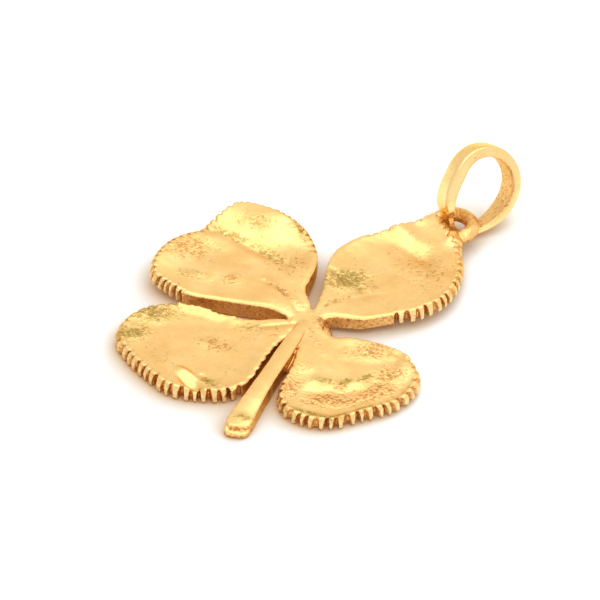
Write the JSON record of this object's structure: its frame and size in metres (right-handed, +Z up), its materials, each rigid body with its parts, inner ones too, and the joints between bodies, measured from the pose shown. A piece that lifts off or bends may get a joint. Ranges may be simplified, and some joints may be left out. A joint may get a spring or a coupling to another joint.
{
  "type": "lucky charm pendant",
  "caption": "Cast four-leaf clover charm with dished leaves, notched leaf edges and a bar stem, hung by a small eyelet from a teardrop loop bail.",
  "frame": {"origin": "middle of the lying pendant's bounding box, on the surface that it rests on", "axes": "+Z up, away from the surface that the pendant lies on; +Y from the clover's hub towards the bail; +X to the right"},
  "size_m": [0.0218, 0.0302, 0.0058],
  "materials": {
    "charm_metal": "soft polished yellow gold colour, finely mottled",
    "bail_metal": "soft polished yellow gold colour"
  },
  "bodies": {
    "charm": {"clover": "charm_metal"},
    "loop": {"bail": "bail_metal"}
  },
  "joints": [
    {"name": "bail_swing", "type": "hinge", "parent": "charm", "child": "loop", "pos_m": [0.00075, 0.01067, 0.00135], "axis": [0.8951, -0.223, 0.386], "range_deg": [-100, 2]}
  ]
}
